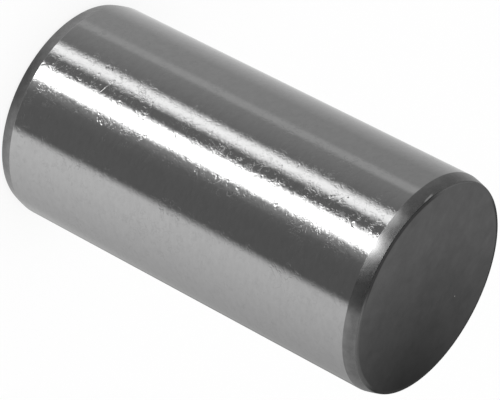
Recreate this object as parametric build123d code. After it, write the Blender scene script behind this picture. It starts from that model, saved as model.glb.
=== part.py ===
"""Crank pin: the short solid steel shaft that joins the webs of a pressed-up crankshaft.

Its ends are pressed into the webs, and the connecting rod's big-end needles run on it between
them, so the whole outside is ground to one diameter. At each end a shallow turned taper leads the
pin into its bore. A small radius blends the taper into the ground diameter, and a smaller one
breaks the edge between the taper and the flat end face.

The pin stands on its lower end face: +Z runs along its axis, and the origin is the centre of that
face. All lengths are in millimetres and all angles in degrees.
"""

from build123d import *
import os
from math import radians, tan

# Driving dimensions
PIN_DIAMETER = 22.0  # ground diameter, over the whole length between the tapers
PIN_LENGTH = 43.0  # over both end faces
TAPER_LENGTH = 1.35  # of each lead-in taper, along the axis
TAPER_ANGLE = 15.0  # of each lead-in taper, from the axis
SHOULDER_RADIUS = 0.5  # blends the ground diameter into a taper
FACE_EDGE_RADIUS = 0.2  # breaks the edge between a taper and its end face

# Derived dimensions
pin_radius = PIN_DIAMETER / 2
face_radius = pin_radius - TAPER_LENGTH * tan(radians(TAPER_ANGLE))
upper_taper_start = PIN_LENGTH - TAPER_LENGTH


def half_outline():
    """The half section's outer line, from the axis at the lower face to the axis at the upper."""
    corners = [
        (0, 0),
        (face_radius, 0),
        (pin_radius, TAPER_LENGTH),
        (pin_radius, upper_taper_start),
        (face_radius, PIN_LENGTH),
        (0, PIN_LENGTH),
    ]
    lower_end_radii = [FACE_EDGE_RADIUS, SHOULDER_RADIUS]
    upper_end_radii = lower_end_radii[::-1]
    return FilletPolyline(*corners, radius=lower_end_radii + upper_end_radii)


def crank_pin():
    """The pin, turned about +Z from its half section."""
    with BuildPart() as pin:
        with BuildSketch(Plane.XZ):
            with BuildLine():
                outline = half_outline()
                Line(outline @ 1, outline @ 0)
            make_face()
        revolve(axis=Axis.Z)
    return pin.part


os.makedirs("parts", exist_ok=True)
export_step(crank_pin(), "parts/crank_pin.step")
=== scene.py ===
from collections import namedtuple
from math import atan2, cos, hypot, pi, radians, sin, tan

import bpy
from mathutils import Matrix, Vector


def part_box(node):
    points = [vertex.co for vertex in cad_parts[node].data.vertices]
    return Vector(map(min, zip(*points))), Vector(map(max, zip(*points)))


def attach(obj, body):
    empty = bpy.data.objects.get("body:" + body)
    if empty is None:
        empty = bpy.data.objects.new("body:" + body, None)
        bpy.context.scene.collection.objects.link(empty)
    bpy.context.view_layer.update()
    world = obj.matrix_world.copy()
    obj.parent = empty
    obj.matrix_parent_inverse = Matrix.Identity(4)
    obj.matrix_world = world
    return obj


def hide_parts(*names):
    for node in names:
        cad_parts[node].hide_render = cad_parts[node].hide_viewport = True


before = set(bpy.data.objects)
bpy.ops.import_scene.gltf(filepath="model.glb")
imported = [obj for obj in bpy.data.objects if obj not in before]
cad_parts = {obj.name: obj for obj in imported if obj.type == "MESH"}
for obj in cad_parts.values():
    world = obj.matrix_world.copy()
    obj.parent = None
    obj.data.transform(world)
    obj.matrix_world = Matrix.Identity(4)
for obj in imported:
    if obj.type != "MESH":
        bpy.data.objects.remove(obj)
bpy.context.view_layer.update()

NODE = "crank_pin"
MM = 0.001

# --- The pin's form, in metres -----------------------------------------------------------------
PIN_LOW, PIN_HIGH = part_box(NODE)
PIN_RADIUS = (PIN_HIGH.x - PIN_LOW.x) / 2
PIN_LENGTH = PIN_HIGH.z - PIN_LOW.z
TAPER_LENGTH = 1.35 * MM
TAPER_ANGLE = radians(15)  # from the axis
TAPER_CROWN = radians(2.5)  # the taper is barrelled: its slope turns this far each way from that
SHOULDER_RADIUS = 0.5 * MM
FACE_EDGE_RADIUS = 0.2 * MM
FACE_RADIUS = PIN_RADIUS - TAPER_LENGTH * tan(TAPER_ANGLE)  # where face and taper would meet sharp

# How finely the mesh is cut: round the pin, then along its half section from the centre outwards.
SEGMENTS = 360
FACE_RINGS = 8
EDGE_STEPS = 10
TAPER_ROWS = 8
SHOULDER_STEPS = 8
BODY_ROWS = 40

SAME_HEIGHT = 1e-9  # rings closer than this in height are level
MAP_GAP = 0.6 * MM  # between the pieces of the unrolled map


def arc(corner, radius, angle_in, angle_out, steps):
    """Points and normals of the fillet in a corner between two lines with the given normals."""
    middle = (angle_in + angle_out) / 2
    reach = radius / cos((angle_out - angle_in) / 2)
    centre = (corner[0] - reach * cos(middle), corner[1] - reach * sin(middle))
    points = []
    for step in range(steps + 1):
        a = angle_in + (angle_out - angle_in) * step / steps
        points.append((centre[0] + radius * cos(a), centre[1] + radius * sin(a), cos(a), sin(a)))
    return points


def between(start, end, count):
    """The points that cut the line from start to end into count rows, without its ends."""
    return [
        tuple(a + (b - a) * k / count for a, b in zip(start[:2], end[:2])) + start[2:]
        for k in range(1, count)
    ]


def crowned(start, end, count):
    """Like between, but bowed outwards so that it leaves each end square to the normal there."""
    turn_in, turn_out = (atan2(point[3], point[2]) for point in (start, end))
    middle, turned = (turn_in + turn_out) / 2, turn_out - turn_in
    reach = hypot(end[0] - start[0], end[1] - start[1])
    points = []
    for k in range(1, count):
        t = k / count
        bow = reach * turned / 2 * t * (1 - t)
        r, z = (a + (b - a) * t for a, b in zip(start[:2], end[:2]))
        turn = turn_in + turned * t
        points.append((r + bow * cos(middle), z + bow * sin(middle), cos(turn), sin(turn)))
    return points


def half_section():
    """The outline from the lower face's centre to the upper's: radius, height and normal."""
    face, side = -pi / 2, 0.0
    steep, shallow = -TAPER_ANGLE - TAPER_CROWN, -TAPER_ANGLE + TAPER_CROWN
    edge = arc((FACE_RADIUS, 0.0), FACE_EDGE_RADIUS, face, steep, EDGE_STEPS)
    shoulder = arc((PIN_RADIUS, TAPER_LENGTH), SHOULDER_RADIUS, shallow, side, SHOULDER_STEPS)
    centre = (0.0, 0.0, 0.0, -1.0)
    lower = [centre] + between(centre, edge[0], FACE_RINGS) + edge
    lower += crowned(edge[-1], shoulder[0], TAPER_ROWS) + shoulder
    upper = [(r, PIN_LENGTH - z, nr, -nz) for r, z, nr, nz in reversed(lower)]
    return lower + between(lower[-1], upper[0], BODY_ROWS) + upper


def turned_mesh(name, section):
    """A mesh turned about Z from the half section, with exact normals and an unrolled map."""
    rings = section[1:-1]
    top = len(rings) - 1
    points, normals = [], []
    for r, z, nr, nz in rings:
        for k in range(SEGMENTS):
            turn = 2 * pi * k / SEGMENTS
            points.append((r * cos(turn), r * sin(turn), z))
            normals.append((nr * cos(turn), nr * sin(turn), nz))
    low_pole, high_pole = len(points), len(points) + 1
    points += [(0.0, 0.0, section[0][1]), (0.0, 0.0, section[-1][1])]
    normals += [(0.0, 0.0, -1.0), (0.0, 0.0, 1.0)]
    strip_place, disc_place = unrolled(rings)
    faces, places = [], []

    def face(corners, place):
        """Adds a face. A corner is a ring and a step round it, or no ring and a pole's number."""
        vertices = [
            step if ring is None else ring * SEGMENTS + step % SEGMENTS for ring, step in corners
        ]
        faces.append(vertices)
        places.extend(place(points[v], ring, step) for v, (ring, step) in zip(vertices, corners))

    for k in range(SEGMENTS):
        face([(None, low_pole), (0, k + 1), (0, k)], disc_place)
        for row in range(top):
            level = abs(rings[row][1] - rings[row + 1][1]) < SAME_HEIGHT
            corners = [(row, k), (row, k + 1), (row + 1, k + 1), (row + 1, k)]
            face(corners, disc_place if level else strip_place)
        face([(None, high_pole), (top, k), (top, k + 1)], disc_place)
    mesh = bpy.data.meshes.new(name)
    mesh.from_pydata(points, [], faces)
    mesh.shade_smooth()
    layer = mesh.uv_layers.new(name="OFBake")
    for loop, place in zip(layer.data, places):
        loop.uv = place
    mesh.normals_split_custom_set_from_vertices(normals)
    return mesh


def unrolled(rings):
    """Where a point goes on the map: the side is one strip above the two end faces, at one scale."""
    around = 2 * pi * PIN_RADIUS
    per_metre = 1 / (around + 2 * MAP_GAP)
    flat_radius = rings[FACE_RINGS - 1][0]
    strip_foot = 2 * flat_radius + 2 * MAP_GAP
    heights = [0.0]
    for before, after in zip(rings[FACE_RINGS - 1:], rings[FACE_RINGS:]):
        heights.append(heights[-1] + hypot(after[0] - before[0], after[1] - before[1]))

    def strip_place(_, ring, step):
        along = MAP_GAP + around * step / SEGMENTS
        return along * per_metre, (strip_foot + heights[ring - FACE_RINGS + 1]) * per_metre

    def disc_place(point, *_):
        x, y, z = point
        middle = MAP_GAP + flat_radius
        if z > PIN_LENGTH / 2:
            middle += 2 * (flat_radius + MAP_GAP)
        return (middle + x) * per_metre, (MAP_GAP + flat_radius + y) * per_metre

    return strip_place, disc_place


# --- Shader building ---------------------------------------------------------------------------
class Nodes:
    """Short calls for building a node tree; a socket argument may be a number or an output."""

    def __init__(self, owner):
        owner.use_nodes = True
        self.tree = owner.node_tree
        self.tree.nodes.clear()

    def put(self, socket, value):
        if isinstance(value, bpy.types.NodeSocket):
            self.tree.links.new(value, socket)
        elif value is not None:
            socket.default_value = value

    def new(self, kind, inputs=None, **settings):
        node = self.tree.nodes.new(kind)
        for key, value in settings.items():
            setattr(node, key, value)
        for key, value in (inputs or {}).items():
            self.put(node.inputs[key], value)
        return node

    def math(self, operation, a, b=None):
        node = self.new("ShaderNodeMath", operation=operation)
        for socket, value in zip(node.inputs, (a, b)):
            self.put(socket, value)
        return node.outputs[0]

    def add(self, a, b):
        return self.math("ADD", a, b)

    def subtract(self, a, b):
        return self.math("SUBTRACT", a, b)

    def times(self, a, b):
        return self.math("MULTIPLY", a, b)

    def larger(self, a, b):
        return self.math("MAXIMUM", a, b)

    def size(self, value):
        return self.math("ABSOLUTE", value)

    def distance(self, x, y, x_from=0.0, y_from=0.0):
        across, back = self.subtract(x, x_from), self.subtract(y, y_from)
        return self.math("SQRT", self.add(self.times(across, across), self.times(back, back)))

    def bearing(self, x, y):
        """Degrees round the Z axis from -Y, which is the camera's side, towards +X."""
        return self.times(self.math("ARCTAN2", x, self.times(y, -1.0)), 180 / pi)

    def map_range(self, kind, value, start, end, low, high):
        node = self.new("ShaderNodeMapRange", interpolation_type=kind)
        for socket, number in zip(node.inputs[:5], (value, start, end, low, high)):
            self.put(socket, number)
        return node.outputs["Result"]

    def ramp(self, value, start, end, low=0.0, high=1.0):
        """Eases from low, where value is at start, to high, where it is at end."""
        if start > end:  # a smooth step has to rise
            start, end, low, high = end, start, high, low
        return self.map_range("SMOOTHSTEP", value, start, end, low, high)

    def fade(self, value, start, end, low, high):
        """Straight from low, where value is at start, to high, where it is at end."""
        return self.map_range("LINEAR", value, start, end, low, high)

    def mix(self, share, a, b):
        """All a where the share is 0, all b where it is 1."""
        node = self.new("ShaderNodeMix", {"Factor": share, "A": a, "B": b}, data_type="FLOAT")
        return node.outputs["Result"]

    def noise(self, place, scale, seed, detail=1.0, roughness=0.5, distortion=0.0):
        """Smooth noise from 0 to 1, finer with more scale; the seed picks one unlike the others."""
        node = self.new(
            "ShaderNodeTexNoise",
            {"Vector": place, "W": seed, "Scale": scale, "Detail": detail,
             "Roughness": roughness, "Distortion": distortion},
            noise_dimensions="4D",
        )
        return node.outputs["Fac"]

    def patches(self, place, scale, seed, thin, thick, **texture):
        """Eases from 0 to 1 where a noise goes from thin to thick."""
        return self.ramp(self.noise(place, scale, seed, **texture), thin, thick)

    def grey(self, value):
        node = self.new("ShaderNodeCombineColor", {"Red": value, "Green": value, "Blue": value})
        return node.outputs["Color"]


# --- Steel: lengths in mm, bearings in degrees from the camera's side ----------------------------
LENGTH_MM, TAPER_MM = PIN_LENGTH / MM, TAPER_LENGTH / MM

# Reflectance and roughness of each finish. SPREAD is how far a noise moves a tone either way.
GROUND_TONE, GROUND_SPREAD = 0.54, 0.03
SCUFFED_SHARE = 0.94  # of the ground tone, in a scuff
CLEAN_ROUGH, SMUDGED_ROUGH, SCUFFED_ROUGH = 0.06, 0.08, 0.20
TAPER_TONE_SHOULDER, TAPER_TONE_EDGE, TAPER_SPREAD = 0.265, 0.21, 0.12
TAPER_ROUGH_SHOULDER, TAPER_ROUGH_EDGE = 0.26, 0.27
# The first of these is painted shade: the dark line round each end face's rim and the pit's dark
# speck. The second is painted sheen along part of that rim.
SHADE_TONE, RIM_SHEEN_TONE = 0.07, 0.20
FACE_ROUGH = 0.5
FACE_MOTTLE_SPREAD, FACE_GRAIN_SPREAD = 0.13, 0.045

# In a pair of places, a finish isn't there at the first and is all there at the second.
# Depths below the nearer end face, and for the rim the distance from the axis.
GROUND_BEGINS = (TAPER_MM - 0.05, TAPER_MM + 0.03)
FACE_BEGINS = (0.15, 0.07)
SCALE_BEGINS = (TAPER_MM, 0.35)
# Where the painted shade and sheen of the face's rim begin.
RIM_BEGINS = (FACE_RADIUS / MM - 0.42, FACE_RADIUS / MM - 0.22)

# The end faces are dark with scale, and painted shade makes each darkest about one place near its
# rim and lighter away from it; the reaches are the distances where it is darkest and lightest.
FACE_SHADE_X, FACE_SHADE_Y = 12, 7
FACE_DARK_REACH, FACE_LIGHT_REACH = 4, 20
FACE_DARK_TONE, FACE_LIGHT_TONE = 0.043, 0.20

# The side was handled most about one bearing. The broken edge of each end face has painted sheen
# along a stretch on either side of another bearing, and painted shade elsewhere. The pairs are
# distances from it.
HANDLED_MIDDLE, HANDLED_WITHIN = -9.0, (30.0, 13.0)
RIM_SHEEN_MIDDLE, RIM_SHEEN_BEGINS, RIM_SHEEN_ENDS = -14.0, (26.0, 42.0), (104.0, 88.0)

# How high each part of the relief stands where its noise or mark is at 1.
GRAIN_RELIEF, FROST_RELIEF, SCUFF_RELIEF, NICK_RELIEF = 0.0050, -0.0011, -0.0022, -0.0070
SCRATCH_RELIEF, DENT_RELIEF = -0.006, -0.045
END_GRAIN_RELIEF, TURNING_RELIEF = 0.006, 0.002
# Strength of grain and frost on clean and on smudged steel, away from the handled part and on it.
RUBBED_LITTLE, RUBBED_MUCH = (0.5, 1.3), (1.3, 2.2)
GRAIN_STRETCH = 1.6  # the grain is this much longer round the pin than along it
SCUFFS_WHERE_CLEAN = 0.35  # share of the hairlines that is left on clean steel
HAIR_CURL = 0.7
HAIR_PATCH_SCALE, HAIR_PATCH_SEED = 0.8, 7  # of their patches, against the hairlines' own

# Single marks: bearing, height above the lower face, half length round the pin, half width, and
# lean (rise per length).
Mark = namedtuple("Mark", "bearing height half_length half_width lean")
DENT = Mark(-42, 42.8, 0.85, 0.10, 0.09)  # in the upper taper, beside its broken edge
SCRATCH = Mark(-14, 8.8, 0.75, 0.05, -0.3)
# A pit shown only as a dark speck of painted shade, without relief.
PIT_SHADE = Mark(-21, 36.8, 0.11, 0.10, 0.0)
MARK_CORE_LENGTH, MARK_CORE_WIDTH = 0.4, 0.3  # share of a mark's length and width at full depth
# The fleck on the upper face: its place and radius.
FLECK_X, FLECK_Y, FLECK_RADIUS = -0.5, 5.5, 0.09

# The shaded point: as a vector, as x, y and z, its distance from the axis, its depth below the
# nearer end face, and its bearing.
Point = namedtuple("Point", "vector x y z radius depth bearing")


def shaded_point(n):
    place = n.new("ShaderNodeTexCoord").outputs["Object"]
    mm = n.new("ShaderNodeVectorMath", {0: place, "Scale": 1 / MM}, operation="SCALE").outputs[0]
    x, y, z = n.new("ShaderNodeSeparateXYZ", {0: mm}).outputs
    depth = n.subtract(LENGTH_MM / 2, n.size(n.subtract(z, LENGTH_MM / 2)))
    return Point(mm, x, y, z, n.distance(x, y), depth, n.bearing(x, y))


def mark(n, at, shape):
    """A share of 1 along a short stroke on the pin's outside, fading to 0 at its rim."""
    mm_per_degree = PIN_RADIUS / MM * pi / 180
    along = n.times(n.subtract(at.bearing, shape.bearing), mm_per_degree)
    across = n.add(n.subtract(at.z, shape.height), n.times(along, -shape.lean))
    long, wide = shape.half_length, shape.half_width
    return n.times(n.ramp(n.size(along), long, long * MARK_CORE_LENGTH),
                   n.ramp(n.size(across), wide, wide * MARK_CORE_WIDTH))


def hairlines(n, at, scale, seed, width, thin, thick):
    """Short curved scratches in patches: they run where a noise crosses its middle."""
    field = n.noise(at.vector, scale, seed, distortion=HAIR_CURL)
    line = n.ramp(n.size(n.subtract(field, 0.5)), width, 0.0)
    patch = n.patches(at.vector, scale * HAIR_PATCH_SCALE, seed + HAIR_PATCH_SEED, thin, thick)
    return n.times(line, patch)


def ground_side(n, at, combed, grain):
    """Tone, roughness and height of the superfinished side."""
    smudge = n.patches(at.vector, 0.22, seed=23, thin=0.36, thick=0.62,
                       detail=3.0, roughness=0.6, distortion=0.4)
    handled = n.ramp(n.size(n.subtract(at.bearing, HANDLED_MIDDLE)), *HANDLED_WITHIN)

    # Hairlines lie all over it, more of them in a smudge, and nicks only where it was handled.
    scuffs = n.larger(hairlines(n, at, 1.1, seed=3, width=0.050, thin=0.52, thick=0.60),
                      hairlines(n, at, 2.0, seed=14, width=0.070, thin=0.54, thick=0.60))
    scuffs = n.times(scuffs, n.mix(smudge, SCUFFS_WHERE_CLEAN, 1.0))
    rubbed = n.patches(at.vector, 0.45, seed=91, thin=0.42, thick=0.60, detail=2.0, distortion=0.3)
    nicks = n.patches(combed, 1.6, seed=77, thin=0.60, thick=0.72)
    nicks = n.times(nicks, n.times(rubbed, handled))

    tone = n.mix(scuffs, GROUND_TONE, GROUND_TONE * SCUFFED_SHARE)
    tone = n.times(tone, n.ramp(grain, -0.3, 0.3, 1 - GROUND_SPREAD, 1 + GROUND_SPREAD))
    # Painted shade of the pit: a dark speck.
    tone = n.mix(mark(n, at, PIT_SHADE), tone, SHADE_TONE)
    rough = n.mix(scuffs, n.mix(smudge, CLEAN_ROUGH, SMUDGED_ROUGH), SCUFFED_ROUGH)

    # Superfinishing leaves a fine grain and a frost of tiny pits, stronger where it was handled.
    frost = n.patches(at.vector, 2.6, seed=17, thin=0.52, thick=0.70)
    rubbing = n.mix(handled, n.mix(smudge, *RUBBED_LITTLE), n.mix(smudge, *RUBBED_MUCH))
    finish = n.add(n.times(n.times(grain, GRAIN_RELIEF), rubbing),
                   n.times(n.times(frost, FROST_RELIEF), rubbing))
    cuts = n.add(n.times(mark(n, at, SCRATCH), SCRATCH_RELIEF), n.times(nicks, NICK_RELIEF))
    return tone, rough, n.add(n.add(n.times(scuffs, SCUFF_RELIEF), cuts), finish)


def taper(n, at, dent):
    """Tone and roughness of a taper: rubbed bright at its shoulder, with more scale at its edge."""
    along = n.ramp(at.depth, *SCALE_BEGINS)
    tone = n.mix(along, TAPER_TONE_SHOULDER, TAPER_TONE_EDGE)
    mottle = n.noise(at.vector, 1.1, seed=57, detail=3.0, roughness=0.6, distortion=0.2)
    tone = n.times(tone, n.ramp(mottle, 0.3, 0.7, 1 - TAPER_SPREAD, 1 + TAPER_SPREAD))
    rough = n.mix(along, TAPER_ROUGH_SHOULDER, TAPER_ROUGH_EDGE)
    return n.mix(dent, tone, GROUND_TONE), rough


def end_face(n, at, grain):
    """Tone of an end face, dark with scale from hardening and with painted shade across it, and of
    its broken edge, with painted shade and sheen along it.
    """
    # Painted shade: darkest about one place near the rim, lighter away from it.
    away = n.distance(at.x, at.y, FACE_SHADE_X, FACE_SHADE_Y)
    tone = n.fade(away, FACE_DARK_REACH, FACE_LIGHT_REACH, FACE_DARK_TONE, FACE_LIGHT_TONE)
    mottle = n.noise(at.vector, 0.6, seed=41, detail=4.0, roughness=0.65, distortion=0.3)
    mottle = n.fade(mottle, 0.25, 0.75, 1 - FACE_MOTTLE_SPREAD, 1 + FACE_MOTTLE_SPREAD)
    tone = n.times(tone, mottle)

    # On the rim: painted sheen along a stretch either side of one bearing, painted shade on the
    # rest.
    from_middle = n.size(n.subtract(at.bearing, RIM_SHEEN_MIDDLE))
    rim_sheen = n.times(n.ramp(from_middle, *RIM_SHEEN_BEGINS), n.ramp(from_middle, *RIM_SHEEN_ENDS))
    tone = n.mix(n.ramp(at.radius, *RIM_BEGINS), tone, n.mix(rim_sheen, SHADE_TONE, RIM_SHEEN_TONE))
    tone = n.times(tone, n.fade(grain, -0.25, 0.25, 1 - FACE_GRAIN_SPREAD, 1 + FACE_GRAIN_SPREAD))

    upper = n.math("GREATER_THAN", at.z, LENGTH_MM / 2)
    fleck = n.ramp(n.distance(at.x, at.y, FLECK_X, FLECK_Y), FLECK_RADIUS, FLECK_RADIUS / 2)
    return n.mix(n.times(fleck, upper), tone, GROUND_TONE)


def steel(name):
    """Hardened steel: superfinished side, satin tapers, and end faces still dark with scale, with
    painted shade across them and painted shade and sheen on their rims.
    """
    material = bpy.data.materials.new(name)
    n = Nodes(material)
    at = shaded_point(n)
    side = n.ramp(at.depth, *GROUND_BEGINS)
    face = n.ramp(at.depth, *FACE_BEGINS)

    # The grain is drawn out round the pin, and the turning marks of the ends run round the axis.
    squeezed = n.times(at.z, GRAIN_STRETCH)
    combed = n.new("ShaderNodeCombineXYZ", {0: at.x, 1: at.y, 2: squeezed}).outputs[0]
    grain = n.subtract(n.noise(combed, 1.3, seed=31), 0.5)
    lathe = n.new("ShaderNodeCombineXYZ", {0: at.radius, 1: at.z, 2: 0.0}).outputs[0]
    turned = n.noise(lathe, 7.0, seed=5, detail=2.0, roughness=0.6)
    dent = mark(n, at, DENT)

    side_tone, side_rough, side_height = ground_side(n, at, combed, grain)
    taper_tone, taper_rough = taper(n, at, dent)
    tone = n.mix(face, n.mix(side, taper_tone, side_tone), end_face(n, at, grain))
    rough = n.mix(face, n.mix(side, taper_rough, side_rough), FACE_ROUGH)
    end_height = n.add(n.times(turned, TURNING_RELIEF), n.times(grain, END_GRAIN_RELIEF))
    height = n.mix(side, n.add(end_height, n.times(dent, DENT_RELIEF)), side_height)
    bump = n.new("ShaderNodeBump", {"Strength": 1.0, "Distance": MM, "Height": height})

    shader = n.new("ShaderNodeBsdfPrincipled", {
        "Base Color": n.grey(tone), "Metallic": 1.0, "Roughness": rough, "Normal": bump.outputs[0],
    })
    n.new("ShaderNodeOutputMaterial", {"Surface": shader.outputs[0]})
    return material


# --- Studio: bearings from the camera's side and elevations, in degrees, as seen from the pin ----
# Radiance of the tent round the pin. It is open in front, grey on the left and a white board on the
# right, with a gap straight behind.
OPEN_FRONT = 0.14
LEFT_SIDE, LEFT_BACK = 0.35, 0.75
WHITE_BOARD, BOARD_END, BOARD_BACK = 0.72, 0.43, 0.22
BACK_GAP = 0.46
# Bearings between which one of those gives way to the next.
FRONT_TO_SIDE, SIDE_TO_BACK = (-30, -90), (-118, -174)
BOARD_BEGINS = (44.5, 54.5)
BOARD_TO_END, END_TO_BACK = (64, 150), (160, 172)
TO_BACK_GAP = (174, 180)

# Low down the walls catch more of the light that the table throws back: their tone is multiplied
# by one number at the foot and falls to another, between these elevations.
BOUNCE_FOOT, BOUNCE_HEAD, BOUNCE_FALLS = 1.09, 0.92, (-33, -26)
BOUNCE_BEGINS, BOUNCE_ENDS = (-46, -38), (-12, -24)
# Below the walls lies a pale bank, darker in front. Its top is higher at the back on the right.
BANK_FRONT, BANK_SIDES, BANK_TURNS = 0.34, 0.72, (25, 78)
BANK_TOP, BANK_TOP_RIGHT, BANK_TOP_RISES = -36, -29, (120, 150)
BANK_SOFTNESS = 10
UNDERNEATH, UNDERNEATH_BEGINS = 0.20, (-66, -76)
OVERHEAD, OVERHEAD_BEGINS = 0.9, (44, 62)
# Straight behind the pin is a dark opening above the bank.
OPENING, OPENING_SIDES = 0.06, (148, 166)
OPENING_FOOT, OPENING_HEAD = (-11, -7), (26, 16)

# The lights in the walls: the bearing, half width and softness of each, its radiance low down, how
# much brighter it is level with the pin, and the elevations of its lower and upper end.
Light = namedtuple("Light", "bearing half_width softness radiance rise foot head")
LIGHT_SPILL = Light(-16, 28, 20, 0.17, 4.6, foot=-38, head=-4)
GAP_LIGHT = Light(-84.2, 4.8, 6, 0.47, 1.0, foot=-38, head=-20)
SIDE_SOFTBOX = Light(-43.1, 6.0, 10, 1.58, 1.7, foot=-36, head=-6)
KEY_GLOW = Light(-5, 8, 12, 0.36, 2.0, foot=-38, head=-4)
KEY_SOFTBOX = Light(-12.8, 5.6, 13, 6.0, 1.5, foot=-36, head=-4)
FOOT_SOFTNESS, HEAD_SOFTNESS = 8, 12
LIGHT_RISES = (-25, -6)
# The lights stand a little askew: this far round each way, over the heights that the side reflects
# from its lower end to its upper.
ASKEW, ASKEW_LOW, ASKEW_HIGH = 1.0, -33.0, -26.4

FLOOR_TONE = 0.93
FLOOR_GLOW = 0.88  # share of the floor's own white in what the camera sees of it
FLOOR_LIGHT, FLOOR_LIGHT_WIDTH = 1.35, radians(20)
# The floor in metres, and how finely it is cut: round it, and along its bend.
FLOOR_RINGS = (0.06, 0.25, 1.5)
FLOOR_BEND, FLOOR_WALL = 0.3, 0.12
FLOOR_TURNS, BEND_STEPS = 96, 16


def tent(n, bearing):
    """Radiance of the walls by their bearing."""
    left = n.fade(bearing, *FRONT_TO_SIDE, OPEN_FRONT, LEFT_SIDE)
    left = n.add(left, n.fade(bearing, *SIDE_TO_BACK, 0.0, LEFT_BACK - LEFT_SIDE))
    board = n.fade(bearing, *BOARD_TO_END, WHITE_BOARD, BOARD_END)
    board = n.add(board, n.fade(bearing, *END_TO_BACK, 0.0, BOARD_BACK - BOARD_END))
    level = n.mix(n.ramp(bearing, *BOARD_BEGINS), left, board)
    return n.mix(n.ramp(n.size(bearing), *TO_BACK_GAP), level, BACK_GAP)


def surround():
    """The studio round the pin: upright walls and lights, with a plain pale ceiling."""
    world = bpy.data.worlds.new("studio")
    bpy.context.scene.world = world
    n = Nodes(world)
    direction = n.new("ShaderNodeTexCoord").outputs["Generated"]
    x, y, z = n.new("ShaderNodeSeparateXYZ", {0: direction}).outputs
    bearing = n.bearing(x, y)
    elevation = n.times(n.math("ARCSINE", z), 180 / pi)
    either_way = n.size(bearing)
    askew = n.subtract(bearing, n.fade(elevation, ASKEW_LOW, ASKEW_HIGH, -ASKEW, ASKEW))

    def lit(level, light):
        away = n.size(n.subtract(askew, light.bearing))
        half_soft = light.softness / 2
        share = n.ramp(away, light.half_width + half_soft, light.half_width - half_soft)
        share = n.times(share, n.ramp(elevation, light.foot - FOOT_SOFTNESS, light.foot))
        share = n.times(share, n.ramp(elevation, light.head + HEAD_SOFTNESS, light.head))
        radiance = n.fade(elevation, *LIGHT_RISES, light.radiance, light.radiance * light.rise)
        return n.mix(share, level, radiance)

    bounced = n.times(n.ramp(elevation, *BOUNCE_BEGINS), n.ramp(elevation, *BOUNCE_ENDS))
    bounce = n.mix(bounced, 1.0, n.fade(elevation, *BOUNCE_FALLS, BOUNCE_FOOT, BOUNCE_HEAD))
    level = n.times(lit(tent(n, bearing), LIGHT_SPILL), bounce)
    for light in (GAP_LIGHT, SIDE_SOFTBOX, KEY_GLOW, KEY_SOFTBOX):
        level = lit(level, light)

    bank = n.fade(either_way, *BANK_TURNS, BANK_FRONT, BANK_SIDES)
    bank_top = n.fade(bearing, *BANK_TOP_RISES, BANK_TOP, BANK_TOP_RIGHT)
    above_bank = n.subtract(elevation, bank_top)
    level = n.mix(n.ramp(above_bank, 0, -BANK_SOFTNESS), level, n.larger(level, bank))
    level = n.mix(n.ramp(elevation, *UNDERNEATH_BEGINS), level, UNDERNEATH)
    opening = n.times(n.ramp(either_way, *OPENING_SIDES), n.ramp(elevation, *OPENING_FOOT))
    level = n.mix(n.times(opening, n.ramp(elevation, *OPENING_HEAD)), level, OPENING)
    level = n.mix(n.ramp(elevation, *OVERHEAD_BEGINS), level, OVERHEAD)
    background = n.new("ShaderNodeBackground", {"Color": n.grey(level), "Strength": 1.0})
    n.new("ShaderNodeOutputWorld", {"Surface": background.outputs[0]})


def floor_light():
    """A broad lamp straight above, for the floor; the pin doesn't mirror it."""
    lamp = bpy.data.lights.new("floor_light", "SUN")
    lamp.energy = FLOOR_LIGHT
    lamp.angle = FLOOR_LIGHT_WIDTH
    made = bpy.data.objects.new("floor_light", lamp)
    made.location = (0, 0, 1)
    made.visible_glossy = False
    bpy.context.scene.collection.objects.link(made)


def floor_mesh():
    """A flat floor that curves up into a low wall all round."""
    flat = FLOOR_RINGS[-1]
    outline = [(r, 0.0) for r in FLOOR_RINGS]
    for step in range(1, BEND_STEPS + 1):
        a = pi / 2 * step / BEND_STEPS
        outline.append((flat + FLOOR_BEND * sin(a), FLOOR_BEND * (1 - cos(a))))
    outline.append((flat + FLOOR_BEND, FLOOR_BEND + FLOOR_WALL))
    points, faces = [(0.0, 0.0, 0.0)], []
    for r, z in outline:
        for k in range(FLOOR_TURNS):
            turn = 2 * pi * k / FLOOR_TURNS
            points.append((r * cos(turn), r * sin(turn), z))
    for k in range(FLOOR_TURNS):
        after = (k + 1) % FLOOR_TURNS
        faces.append((0, 1 + k, 1 + after))
        for row in range(len(outline) - 1):
            a, b = 1 + row * FLOOR_TURNS, 1 + (row + 1) * FLOOR_TURNS
            faces.append((a + k, b + k, b + after, a + after))
    mesh = bpy.data.meshes.new("floor")
    mesh.from_pydata(points, [], faces)
    mesh.shade_smooth()
    return mesh


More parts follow.
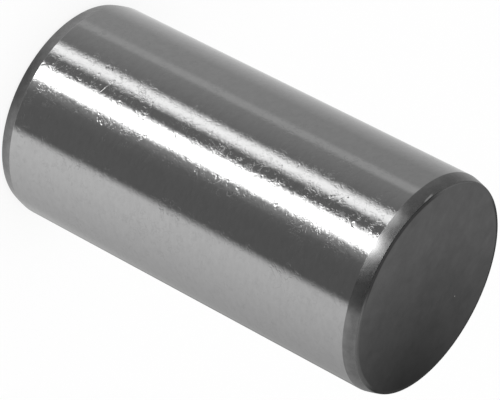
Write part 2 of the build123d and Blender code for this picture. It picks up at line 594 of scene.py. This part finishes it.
def pale_floor():
    """Matt and pale, with a share of plain white in what is seen of it."""
    material = bpy.data.materials.new("pale_floor")
    n = Nodes(material)
    matt = n.new("ShaderNodeBsdfDiffuse", {"Color": (FLOOR_TONE, FLOOR_TONE, FLOOR_TONE, 1.0)})
    white = n.new("ShaderNodeEmission", {"Color": (1.0, 1.0, 1.0, 1.0), "Strength": 1.0})
    path = n.new("ShaderNodeLightPath").outputs
    mirrored = n.larger(path["Is Glossy Ray"], path["Is Transmission Ray"])
    glow = n.times(n.larger(path["Is Camera Ray"], mirrored), FLOOR_GLOW)
    shader = n.new("ShaderNodeMixShader", {0: glow, 1: matt.outputs[0], 2: white.outputs[0]})
    n.new("ShaderNodeOutputMaterial", {"Surface": shader.outputs[0]})
    return material


def sweep():
    """The floor under the pin. Nothing mirrors it, so the pin's side shows the studio instead."""
    floor = bpy.data.objects.new("floor", floor_mesh())
    floor.data.materials.append(pale_floor())
    bpy.context.scene.collection.objects.link(floor)
    floor.visible_glossy = False
    floor.visible_shadow = False


# --- Camera ------------------------------------------------------------------------------------
CAMERA_ELEVATION = radians(29.71)
CAMERA_ROLL = radians(117.36)
CAMERA_DISTANCE = 29.97 * PIN_RADIUS
CAMERA_SHIFT = (0.0288 * PIN_RADIUS, -0.0455 * PIN_RADIUS)
LENS_MM, SENSOR_MM = 252.25, 36.0
CLIP_NEAR, CLIP_FAR = 0.01, 20


def camera():
    """Looks down on the pin from its front, rolled so that the pin slants across the frame."""
    e, roll = CAMERA_ELEVATION, CAMERA_ROLL
    back = Vector((0, -cos(e), sin(e)))
    right, up = Vector((1, 0, 0)), Vector((0, sin(e), cos(e)))
    across = cos(roll) * right + sin(roll) * up
    upward = cos(roll) * up - sin(roll) * right
    middle = Vector((0, 0, PIN_LENGTH / 2))
    where = middle + back * CAMERA_DISTANCE + across * CAMERA_SHIFT[0] + upward * CAMERA_SHIFT[1]
    data = bpy.data.cameras.new("camera")
    data.lens, data.sensor_width = LENS_MM, SENSOR_MM
    data.clip_start, data.clip_end = CLIP_NEAR, CLIP_FAR
    made = bpy.data.objects.new("camera", data)
    turn = Matrix((across, upward, back)).transposed().to_4x4()
    made.matrix_world = Matrix.Translation(where) @ turn
    bpy.context.scene.collection.objects.link(made)
    bpy.context.scene.camera = made


camera()
surround()
floor_light()
sweep()

pin = bpy.data.objects.new("ground_pin", turned_mesh("ground_pin", half_section()))
bpy.context.scene.collection.objects.link(pin)
pin.data.materials.append(steel("ground_steel"))
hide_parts(NODE)
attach(pin, "root")

bpy.context.scene.view_settings.view_transform = "Standard"
